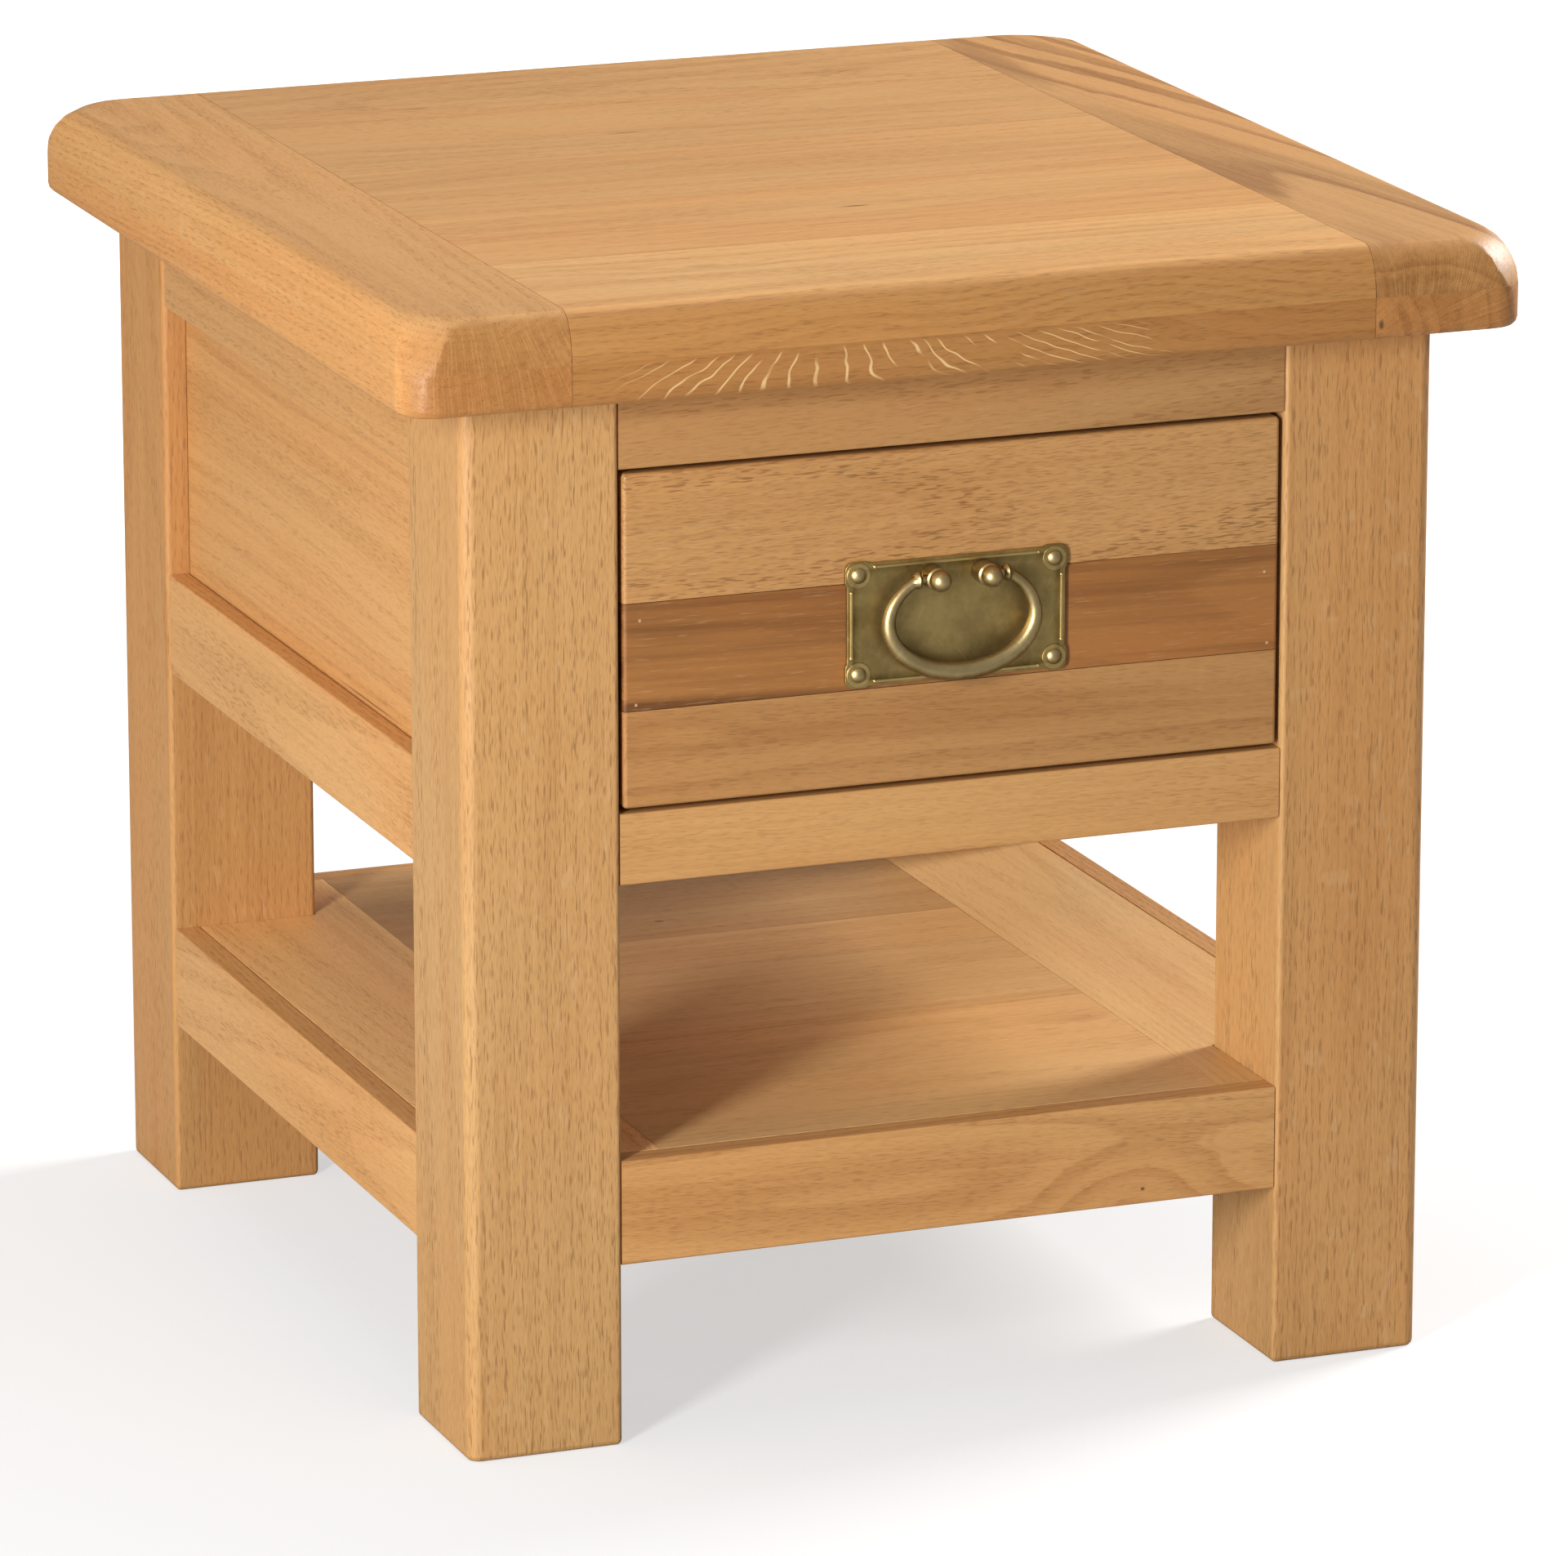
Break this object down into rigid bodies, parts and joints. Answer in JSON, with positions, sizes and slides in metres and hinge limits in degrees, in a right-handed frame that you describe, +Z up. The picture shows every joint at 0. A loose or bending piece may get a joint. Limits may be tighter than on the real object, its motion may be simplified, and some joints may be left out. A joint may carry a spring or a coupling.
{
  "type": "side table with drawer",
  "caption": "Square oak side table: thick legs, heavy rounded top, open lower shelf, and a drawer with a swinging brass bail handle.",
  "frame": {"origin": "on the floor, under the middle of the table top's outline", "axes": "+Z up, -Y the drawer side, +X to the right seen from the drawer side"},
  "size_m": [0.505, 0.515, 0.5],
  "materials": {
    "oak": "light honey oak, satin lacquer",
    "oak_dark": "darker brown oak board, satin lacquer",
    "inner_wood": "pale unlacquered wood",
    "brass": "antique brass with rubbed edges",
    "steel": "zinc plated steel"
  },
  "bodies": {
    "frame": {"leg_front_left": "oak", "leg_front_right": "oak", "leg_back_left": "oak", "leg_back_right": "oak", "top_rail_front": "oak", "drawer_rail_front": "oak", "shelf_rail_front": "oak", "shelf_rail_back": "oak", "back_top_rail": "oak", "back_low_rail": "oak", "shelf_rail_left": "oak", "shelf_rail_right": "oak", "side_top_rail_left": "oak", "side_top_rail_right": "oak", "side_low_rail_left": "oak", "side_low_rail_right": "oak", "side_panel_left": "oak", "side_panel_right": "oak", "back_panel": "oak", "top_board_1": "oak", "top_board_2": "oak", "top_board_3": "oak", "top_board_4": "oak", "top_board_5": "oak", "top_end_board_left": "oak", "top_end_board_right": "oak", "shelf_board_1": "oak", "shelf_board_2": "oak", "shelf_board_3": "oak", "shelf_end_board_left": "oak", "shelf_end_board_right": "oak", "drawer_runner_left": "inner_wood", "drawer_runner_right": "inner_wood", "drawer_kicker_left": "inner_wood", "drawer_kicker_right": "inner_wood", "drawer_stop_left": "inner_wood", "drawer_stop_right": "inner_wood", "top_screw_front_left": "steel", "top_screw_front_right": "steel", "top_screw_back_left": "steel", "top_screw_back_right": "steel"},
    "drawer": {"drawer_front_low": "oak", "drawer_front_middle": "oak_dark", "drawer_front_high": "oak", "drawer_bottom": "inner_wood", "drawer_back": "inner_wood", "drawer_side_left": "inner_wood", "drawer_side_right": "inner_wood", "handle_plate": "brass", "handle_post_left": "brass", "handle_post_right": "brass", "handle_nut_left": "steel", "handle_nut_right": "steel", "handle_pin_low_left": "brass", "handle_pin_low_right": "brass", "handle_pin_high_left": "brass", "handle_pin_high_right": "brass"},
    "bail": {"handle_bail": "brass"}
  },
  "joints": [
    {"name": "drawer_slide", "type": "slide", "parent": "frame", "child": "drawer", "axis": [0, -1, 0], "range_m": [0, 0.3]},
    {"name": "bail_swing", "type": "hinge", "parent": "drawer", "child": "bail", "pos_m": [0, -0.2386, 0.3693], "axis": [-1, 0, 0], "range_deg": [0, 95]}
  ]
}
